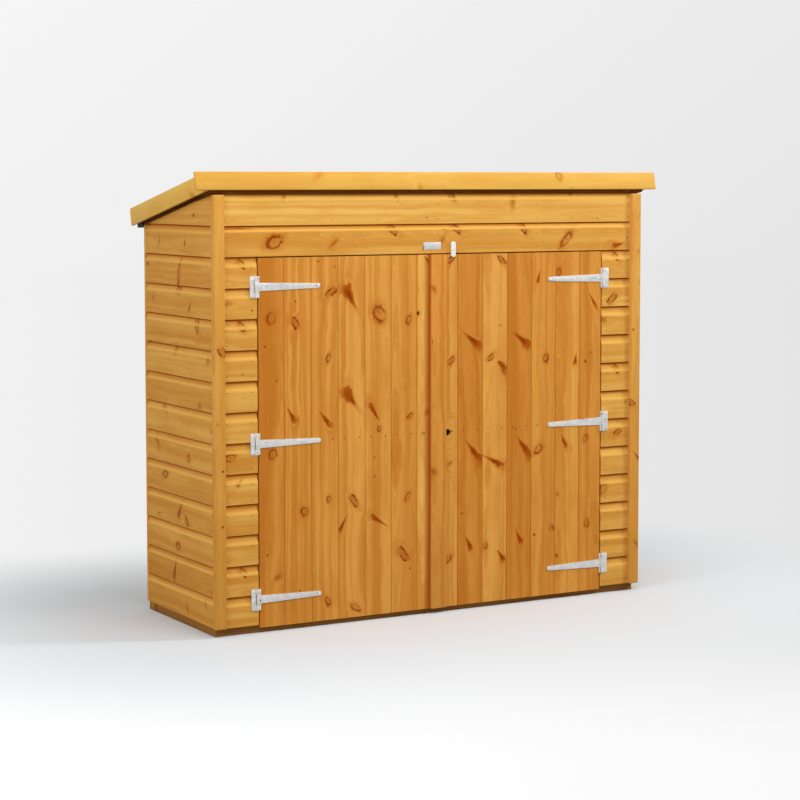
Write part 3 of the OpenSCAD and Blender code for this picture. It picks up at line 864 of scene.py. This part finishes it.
leftLeaf = doorLeaf("left_door_planks", "left_door_boards", -1, leftDoorKnots,
                    door["leftTones"], 21)
settle(leftLeaf, "left_door", wood["door"], ["left_door_boards"])
rightLeaf = doorLeaf("right_door_planks", "right_door_boards", 1, rightDoorKnots,
                     door["rightTones"], 22)
mounts = frame["record"]["mounts"]
lockHole = [mount for mount in mounts if mount["name"] == "lock_hole"][0]
lockRadius = lockHole["dims"]["r_mm"] / 1000
cutOut(rightLeaf, addRod("cutter", lockHole["pos_m"], lockRadius, 0.05, 32, (math.pi / 2, 0, 0)))
settle(rightLeaf, "right_door", wood["door"], ["right_door_boards"])
for seed, side in enumerate(("left", "right")):
    for first, part in ((30, "ledges"), (32, "braces")):
        easedTimber(side + "_door_" + part, side + "_" + part, wood["door"], side + "_door",
                    first + seed)
easedTimber("cover_strip", "meeting_strip", wood["door"], "right_door", 34,
            steps=3, spacing=0.9, tone=0.6)
print("doors made")

framing = {
    "bare": ("front_posts", "front_rails", "side_posts", "side_rails", "rear_posts", "rear_rails"),
    "sawn": ("floor_joists", "floor_front_bearer", "floor_rear_bearer"),
}
timberSeed = 50
for look, nodes in framing.items():
    for node in nodes:
        easedTimber(node, node + "_timber", wood[look], "shed", timberSeed)
        timberSeed += 1
# the roof rail and rafters take the darker wood as painted shade under the fascia and barges
easedTimber("roof_front_rail", "roof_front_rail_timber", wood["dark"], "shed", 59)
easedTimber("roof_rafters", "roof_rafter_timber", wood["dark"], "shed", 61,
            downSlope)
for seed, side in enumerate(("left", "right")):
    easedTimber(side + "_corner_trim", side + "_trim", wood["clad"], "shed",
                70 + seed, width=0.0045, steps=4, spacing=0.4, tone=0.4)
    easedTimber(side + "_barge_board", side + "_barge", wood["pale"], "shed",
                72 + seed, downSlope, width=0.0015, tone=0.3)
easedTimber("front_fascia", "fascia", wood["pale"], "shed", 74, tone=0.55)

deckLook = {"boards": 5, "gap": 0.0005, "vee": 0.001}


def plankDeck(name, node, seed):
    # boards that run from side to side, laid next to each other
    rng = random.Random(seed)
    low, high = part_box(node)
    depth = (high.y - low.y) / deckLook["boards"]
    planks = []
    for index in range(deckLook["boards"]):
        y = low.y + index * depth
        gap = deckLook["gap"]
        plank = addBlock("deck", (low.x, y + gap, low.z), (high.x, y + depth - gap, high.z))
        knots = scatterKnots(rng, high.x - low.x, depth)
        splitAtKnots(plank, low, (1, 0, 0), knots)
        bevelWhere(plank, lambda co, way: abs(way.x) > 0.9, deckLook["vee"])
        markGrain(plank, (low.x, y, low.z), (1, 0, 0), (0, 1, 0), rng, depth, knots)
        planks.append(plank)
    return joinAll(planks, name)


floorPlanks = plankDeck("floor_planks", "floor_boards", 81)
settle(floorPlanks, "shed", wood["bare"], ["floor_boards"])
# the roof boards take the darker wood as painted shade under the eaves
easedTimber("roof_boards", "roof_sheathing", wood["dark"], "shed", 82, width=0.001)
print("framing, trims, floor and roof boards made")

metalLook = {
    "spangle": 95,           # crystals across a metre
    "scratch": 1400,
    "felt": rgb(62, 60, 58),
    "feltLight": rgb(112, 110, 106),
    "feltDark": rgb(32, 30, 29),
    "grit": 620,             # mineral grains across a metre
}


def makeZinc(name, bright, dull, roughness, metallic):
    finish = Finish(name)
    place = finish.place()
    sockets = {"Vector": place, "Scale": metalLook["spangle"]}
    crystal = finish.node("TexVoronoi", None, sockets, "Color")
    tone = finish.split(crystal)[0]
    cloud = finish.noise(place, 22, 3)
    speck = finish.noise(place, metalLook["scratch"], 2)
    body = finish.mix(finish.between(tone, 0.1, 0.9) * 0.4 + cloud * 0.4, bright, dull)
    body = finish.mix(finish.between(speck, 0.62, 0.75) * 0.35, body, dull)
    return finish.shader(
        colour=body,
        metallic=metallic,
        roughness=roughness + (tone - 0.5) * 0.12 + (cloud - 0.5) * 0.2,
        normal=finish.bump(cloud + speck * 0.3, 0.0002, 0.4),
    )


def makeFelt(name):
    finish = Finish(name)
    place = finish.place()
    sockets = {"Vector": place, "Scale": metalLook["grit"]}
    grit = finish.node("TexVoronoi", None, sockets, "Color")
    fleck = finish.split(grit)[1]
    patch = finish.noise(place, 7, 3)
    lump = finish.noise(place, 60, 3)
    body = finish.mix(finish.between(fleck, 0.55, 0.95), metalLook["felt"], metalLook["feltLight"])
    body = finish.mix(finish.between(fleck, 0.35, 0.05), body, metalLook["feltDark"])
    body = finish.mix(finish.between(patch, 0.35, 0.75) * 0.4, body, metalLook["feltDark"])
    return finish.shader(
        colour=body,
        roughness=0.86 + (lump - 0.5) * 0.12,
        specular=0.25,
        normal=finish.bump(fleck * 0.5 + lump, 0.0012, 0.7),
    )


def makePlastic(name):
    finish = Finish(name)
    place = finish.place()
    grime = finish.noise(place, 55, 3)
    texture = finish.noise(place, 1500, 2)
    dirt = finish.between(grime, 0.5, 0.85) * 0.5
    body = finish.mix(dirt, rgb(246, 247, 246), rgb(222, 220, 212))
    return finish.shader(
        colour=body,
        roughness=0.36 + grime * 0.16,
        normal=finish.bump(texture, 0.00012, 0.5),
    )


def makePlate(name):
    # a satin plate brushed along its length
    finish = Finish(name)
    x, y, z = finish.split(finish.place())
    brush = finish.noise(finish.vector(x * 40, y * 900, z * 2600), 1, 2)
    cloud = finish.noise(finish.place(), 35, 3)
    lines = finish.between(brush, 0.35, 0.7) * 0.5 + cloud * 0.2
    body = finish.mix(lines, rgb(222, 221, 217), rgb(188, 187, 183))
    return finish.shader(
        colour=body,
        metallic=0.45,
        roughness=0.34 + brush * 0.2,
        normal=finish.bump(brush, 0.0001, 0.4),
    )


zinc = makeZinc("zinc_plate", rgb(233, 233, 230), rgb(204, 205, 203), 0.42, 0.4)
zincScrew = makeZinc("bright_zinc", rgb(252, 252, 252), rgb(236, 238, 239), 0.3, 0.15)
nailSteel = makeZinc("weathered_nail", rgb(58, 28, 8), rgb(34, 16, 4), 0.7, 0.02)
felt = makeFelt("mineral_felt")
plastic = makePlastic("white_moulding")
plateFinish = makePlate("satin_plate")

screw = {"radius": 0.0036, "height": 0.0012, "cross": (0.0038, 0.0009, 0.0007)}
nail = {"radius": 0.0017, "height": 0.0005, "sides": 8}
toFront = (math.pi / 2, 0, 0)     # turns a rod to lie along Y


def crossCutter(centre, size):
    # two crossed blades that cut the recess of a screw head, along Y
    x, y, z = centre
    long, wide, deep = size
    blades = [addBlock("blade", (x - a, y - deep, z - b), (x + a, y + deep, z + b))
              for a, b in ((long / 2, wide / 2), (wide / 2, long / 2))]
    joined = blades[0]
    pickOnly(joined)
    union = joined.modifiers.new("cross", "BOOLEAN")
    union.operation = "UNION"
    union.object = blades[1]
    bpy.ops.object.modifier_apply(modifier=union.name)
    bpy.data.objects.remove(blades[1])
    return joined


def screwHead():
    # a domed head that faces -Y, with its seat at y = 0
    high = screw["height"]
    head = addRod("screw", (0, -high / 2, 0), screw["radius"], high, 20, toFront)
    bevelWhere(head, lambda co, way: abs(co.y + high) < 1e-5, high * 0.7, 3)
    cutOut(head, crossCutter((0, -high, 0), screw["cross"]))
    smooth(head, 40)
    return head


def nailHead():
    high = nail["height"]
    head = addRod("nail", (0, -high / 2, 0), nail["radius"], high, nail["sides"], toFront)
    bevelWhere(head, lambda co, way: abs(co.y + high) < 1e-5, high * 0.6)
    smooth(head, 60)
    return head


def driveIn(head, name, places, body, material, facing=0.0, tilt=0.0, grow=1.0):
    # copies of one head, each turned about Z (and tipped about X) to sit on its face
    heads = []
    rng = random.Random(len(places))
    for place in places:
        one = copyOf(head, name)
        one.rotation_euler = (0, rng.uniform(0, 3), 0)
        placeInMesh(one)
        one.rotation_euler = (tilt, 0, facing)
        one.scale = (grow, grow, grow)
        one.location = place
        heads.append(placeInMesh(one))
    return settle(joinAll(heads, name), body, material)


strapScrews = {
    "along": (0.026, 0.136, 0.246),      # from the pin, on the long arm
    "barIn": 0.0093,                     # from the pin, on the upright bar
    "barZ": (-0.031, 0.031),
    "plateIn": 0.009,                    # from the wall plate's edge
    "plateZ": (-0.029, 0.0, 0.029),
    "strapProud": 0.003,
    "plateProud": 0.0025,
}
head, tack = screwHead(), nailHead()


def pressedSteel(node, name, body):
    # the CAD plates of one side with their edges eased; gives back each plate's box
    parts = looseParts(cadCopy(node, "pressed"))
    boxes = sorted((boxOf(part) for part in parts), key=lambda box: box[0].z)
    for part in parts:
        bevelAll(part, 0.0005, 2, 40)
        smooth(part, 30)
    settle(joinAll(parts, name), body, zinc, [node])
    return boxes


for side, way in (("left", -1), ("right", 1)):
    body = side + "_door"
    strapBoxes = pressedSteel(side + "_door_straps", side + "_strap_hinges", body)
    plateBoxes = pressedSteel(side + "_hinge_plates", side + "_wall_plates", "shed")
    joints = frame["record"]["behaviour"]["joints"]
    pinX = [joint for joint in joints if joint["name"] == body + "_hinge"][0]["pos_m"][0]
    strapSpots, plateSpots = [], []
    strapY, plateY = faceY - strapScrews["strapProud"], faceY - strapScrews["plateProud"]
    for low, high in strapBoxes:
        middle = (low.z + high.z) / 2
        strapSpots += [(pinX - way * reach, strapY, middle) for reach in strapScrews["along"]]
        barX = pinX - way * strapScrews["barIn"]
        strapSpots += [(barX, strapY, middle + rise) for rise in strapScrews["barZ"]]
    for low, high in plateBoxes:
        middle = (low.z + high.z) / 2
        plateX = (high.x if way > 0 else low.x) - way * strapScrews["plateIn"]
        plateSpots += [(plateX, plateY, middle + rise) for rise in strapScrews["plateZ"]]
    driveIn(head, side + "_strap_screws", strapSpots, body, zincScrew)
    driveIn(head, side + "_plate_screws", plateSpots, "shed", zincScrew)
print("hinges made")

buttonLook = {"edge": 0.0012, "screwEdge": 0.0004, "cross": (0.0058, 0.0013, 0.0009)}
button = cadCopy("turn_button", "white_button")
bevelAll(button, buttonLook["edge"], 3, 40)
smooth(button, 30)
settle(button, "turn_button", plastic, ["turn_button"])
buttonScrew = cadCopy("turn_button_screw", "button_screw")
low, high = boxOf(buttonScrew)
bevelAll(buttonScrew, buttonLook["screwEdge"], 2, 40)
crossAt = ((low.x + high.x) / 2, low.y, (low.z + high.z) / 2)
cutOut(buttonScrew, crossCutter(crossAt, buttonLook["cross"]))
smooth(buttonScrew, 30)
settle(buttonScrew, "shed", zincScrew, ["turn_button_screw"])

platePins = {"inset": 0.005, "corner": 0.003, "edge": 0.0004}
low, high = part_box("name_plate")
plate = addBlock("blank_plate", low, high)
bevelWhere(plate, lambda co, way: abs(way.y) > 0.9, platePins["corner"], 4)
bevelWhere(plate, lambda co, way: abs(co.y - low.y) < 1e-5, platePins["edge"], 2)
smooth(plate, 30)
settle(plate, "shed", plateFinish, ["name_plate"])
pinPlaces = [(x, low.y, (low.z + high.z) / 2)
             for x in (low.x + platePins["inset"], high.x - platePins["inset"])]
driveIn(tack, "plate_pins", pinPlaces, "shed", zincScrew, grow=0.8)

nailing = {
    "fromEnd": 0.022,        # from a board's end
    "fromDoorway": 0.008,
    "heights": (0.018, 0.070),       # on a shiplap board
    "headerX": (-0.866, -0.44, 0.0, 0.44, 0.866),
    "rearX": (-0.876, -0.29, 0.29, 0.876),
    "belowTop": (0.03, 0.02, 0.015),     # none nearer to the top: header, rear, sides
    "doorZ": 0.683,
    "doorInset": 0.024,
    "doorFrom": 0.033,
    "trimFoot": 0.04,
    "trimStep": 0.150,
    "trimBack": 0.004,
}
headerClear, rearClear, sideClear = nailing["belowTop"]
frontNails, sideNails, rearNails = [], {-1: [], 1: []}, []
for course in range(allCourses):
    for rise in nailing["heights"]:
        z = boardsFoot + course * shiplap["cover"] + rise
        if course < doorwayCourses:
            panelX = (abs(leftPanel[1].x) + nailing["fromEnd"],
                      abs(leftPanel[0].x) - nailing["fromDoorway"])
            frontNails += [(way * x, faceY, z) for way in (-1, 1) for x in panelX]
        elif z < header[1].z - headerClear:
            frontNails += [(x, faceY, z) for x in nailing["headerX"]]
        for y in (sideBox[0].y + nailing["fromEnd"], sideBox[1].y - nailing["fromEnd"]):
            if z < roofPoint.z - (y - faceY) * math.tan(roofPitch) - sideClear:
                for way in (-1, 1):
                    sideNails[way].append((way * sideX, y, z))
        if z < rearBox[1].z - rearClear:
            rearNails += [(x, rearBox[1].y, z) for x in nailing["rearX"]]
for name, places, facing in (
    ("front_nails", frontNails, 0.0),
    ("left_nails", sideNails[-1], -math.pi / 2),
    ("right_nails", sideNails[1], math.pi / 2),
    ("rear_nails", rearNails, math.pi),
):
    driveIn(tack, name, places, "shed", nailSteel, facing)

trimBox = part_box("left_corner_trim")
trimSteps = [trimBox[0].z + nailing["trimFoot"] + step * nailing["trimStep"] for step in range(10)]
for side, way in (("left", -1), ("right", 1)):
    spots = [(way * abs(trimBox[0].x), faceY - nailing["trimBack"], z) for z in trimSteps]
    driveIn(tack, side + "_trim_nails", spots, "shed", nailSteel,
            way * math.pi / 2)
for side, way in (("left", -1), ("right", 1)):
    outer = abs(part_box(side + "_door_boards")[0 if way < 0 else 1].x)
    edges = [nailing["doorFrom"], *door["joints"], outer]
    spots = []
    for near, far in zip(edges, edges[1:]):
        for x in (near + nailing["doorInset"], far - nailing["doorInset"]):
            spots.append((way * x, faceY, nailing["doorZ"]))
    driveIn(tack, side + "_door_nails", spots, side + "_door", nailSteel, grow=1.5)
print("plate, button and nails made")

# the felt skin and its rail keep their shape; clouts hold the felt along its edges
clout = {"step": 0.1, "inset": 0.022, "rearInset": 0.0472, "grow": 2.2, "lift": 0.0001}
feltBox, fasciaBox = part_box("roof_felt"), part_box("front_fascia")
rearRail = frame["nodes"]["roof_rear_rail"]
rearRail.data.materials.clear()
rearRail.data.materials.append(felt)
feltSkin = cadCopy("roof_felt", "felt_skin")
# the skin's strip below the fascia is cut away
stripTop = fasciaBox[0].z + 0.003
strip = addBlock("cutter", (-1.2, feltBox[0].y - 0.02, stripTop - 0.1),
                 (1.2, feltBox[0].y + 0.04, stripTop))
cutOut(feltSkin, strip)
bevelAll(feltSkin, 0.0008, 2, 40)
smooth(feltSkin, 30)
settle(feltSkin, "shed", felt, ["roof_felt"])
slopeLong = (feltBox[1].y - feltBox[0].y) / math.cos(roofPitch)
feltCorners = [vertex.co for vertex in frame["nodes"]["roof_felt"].data.vertices]
ridge = max(feltCorners, key=lambda co: co.z)
ridge = Vector((0, ridge.y, ridge.z)) + roofAway * clout["lift"]
half, inset = feltBox[1].x, clout["inset"]
rows = int(2 * half / clout["step"])
cloutSpots = []
for index in range(rows):
    x = -half + inset + index * (2 * half - 2 * inset) / (rows - 1)
    for run in (inset, slopeLong - clout["rearInset"]):
        cloutSpots.append(Vector((x, 0, 0)) + ridge + downSlope * run)
for index in range(1, int((slopeLong - 0.012) / clout["step"])):
    for way in (-1, 1):
        edge = Vector((way * (half - inset), 0, 0))
        cloutSpots.append(edge + ridge + downSlope * clout["step"] * index)
driveIn(tack, "felt_clouts", cloutSpots, "shed", zinc, 0,
        -roofPitch - math.pi / 2, clout["grow"])
for spare in (head, tack):
    bpy.data.objects.remove(spare)
print("felt made")

shot = {
    "place": (-4.049, -7.145, 1.6145),
    "turn": 29.99,           # degrees to the right of straight at the doors
    "dip": 4.411,
    "lens": 96.27,
    "shift": (-0.016, -0.0664),
}
camera = bpy.data.objects.new("camera", bpy.data.cameras.new("camera"))
bpy.context.scene.collection.objects.link(camera)
camera.location = shot["place"]
camera.rotation_euler = (math.radians(90 - shot["dip"]), 0, -math.radians(shot["turn"]))
camera.data.lens = shot["lens"]
camera.data.shift_x, camera.data.shift_y = shot["shift"]
bpy.context.scene.camera = camera

studio = {
    "world": 0.52,
    "backdrop": 0.848,
    "facing": 30,            # the backdrop is turned by these degrees
    "sideways": -0.24,       # the backdrop is a little brighter on the left
    "upwards": 0.3,
    "floor": rgb(222, 227, 231),
    "floorFar": 0.83,
    "eyeAway": 8.2,
    "floorDull": rgb(150, 150, 150),     # how much light the floor sends back
    "floorNear": 0.17,       # painted light: the floor's glow grows brighter by this towards the eye
    "fadeFrom": 0.15,
    "fadeTo": 1.5,
}
lamps = {
    # name: place, size, power
    "key": ((5.4, -2.9, 4.1), 1.0, 202),
    "top": ((-0.3, -2.3, 3.7), 1.8, 41),
    "fill": ((-5.0, -2.2, 3.2), 3.0, 102),
}


def addLamp(name, place, size, power):
    lamp = bpy.data.objects.new(name, bpy.data.lights.new(name, "AREA"))
    bpy.context.scene.collection.objects.link(lamp)
    lamp.location = place
    lamp.data.size = size
    lamp.data.energy = power
    lamp.rotation_euler = (Vector((0, 0, 0.8)) - Vector(place)).to_track_quat("-Z", "Y").to_euler()


for name, (place, size, power) in lamps.items():
    addLamp(name, place, size, power)


def seenDirectly(finish):
    # 1 where the eye meets a thing straight, in a mirror or through glass
    names = ("Is Camera Ray", "Is Glossy Ray", "Is Transmission Ray")
    rays = [finish.node("LightPath", take=name) for name in names]
    return finish.maths("MINIMUM", rays[0] + rays[1] + rays[2], 1)


viewTurn = math.radians(studio["facing"])


def backdropLevel(x, y, level):
    return level + (x * math.cos(viewTurn) - y * math.sin(viewTurn)) * studio["sideways"]


world = bpy.data.worlds.new("studio")
bpy.context.scene.world = world
sky = Finish("studio", world)
skyX, skyY, skyZ = sky.split(sky.place("Generated"))
level = backdropLevel(skyX, skyY, studio["backdrop"]) + skyZ * studio["upwards"]
seen = sky.node("Background", None, {"Color": level})
lit = sky.node("Background", None, {"Color": (1, 1, 1, 1), "Strength": studio["world"]})
backdrop = sky.node("MixShader", None, {0: seenDirectly(sky), 1: lit, 2: seen})
sky.node("OutputWorld", None, {"Surface": backdrop})

pickOnly()
bpy.ops.mesh.primitive_plane_add(size=60, location=(0, 0, 0))
ground = placeInMesh(nameIt(bpy.context.object, "ground"))
ground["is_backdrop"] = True
paper = Finish("studio_floor")
groundX, groundY = paper.split(paper.place())[:2]
beside = [
    paper.maths("MAXIMUM", paper.maths("ABSOLUTE", along) - reach, 0)
    for along, reach in ((groundX, sideX), (groundY, -faceY))
]
clear = (beside[0] * beside[0] + beside[1] * beside[1]) ** 0.5
fade = paper.between(clear, studio["fadeFrom"], studio["fadeTo"])
ahead = groundX * -math.sin(viewTurn) - groundY * math.cos(viewTurn)
matt = paper.node("BsdfDiffuse", None, {"Color": studio["floor"]})
away = studio["eyeAway"] - ahead
far = backdropLevel(groundX / away, groundY / away, studio["floorFar"])
far = far + paper.between(ahead, 0.2, 2.4, 0, studio["floorNear"])
glow = paper.node("Emission", None, {"Color": far})
dull = paper.node("BsdfDiffuse", None, {"Color": studio["floorDull"]})
sight = paper.node("MixShader", None, {0: fade, 1: matt, 2: glow})
surface = paper.node("MixShader", None, {0: seenDirectly(paper), 1: dull, 2: sight})
paper.node("OutputMaterial", None, {"Surface": surface})
ground.data.materials.append(paper.material)
bpy.context.scene.view_settings.view_transform = "Standard"
print("camera, floor and light made")

size = {"cad": [list(corner) for corner in cadBox], "visual": [list(corner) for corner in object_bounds()]}
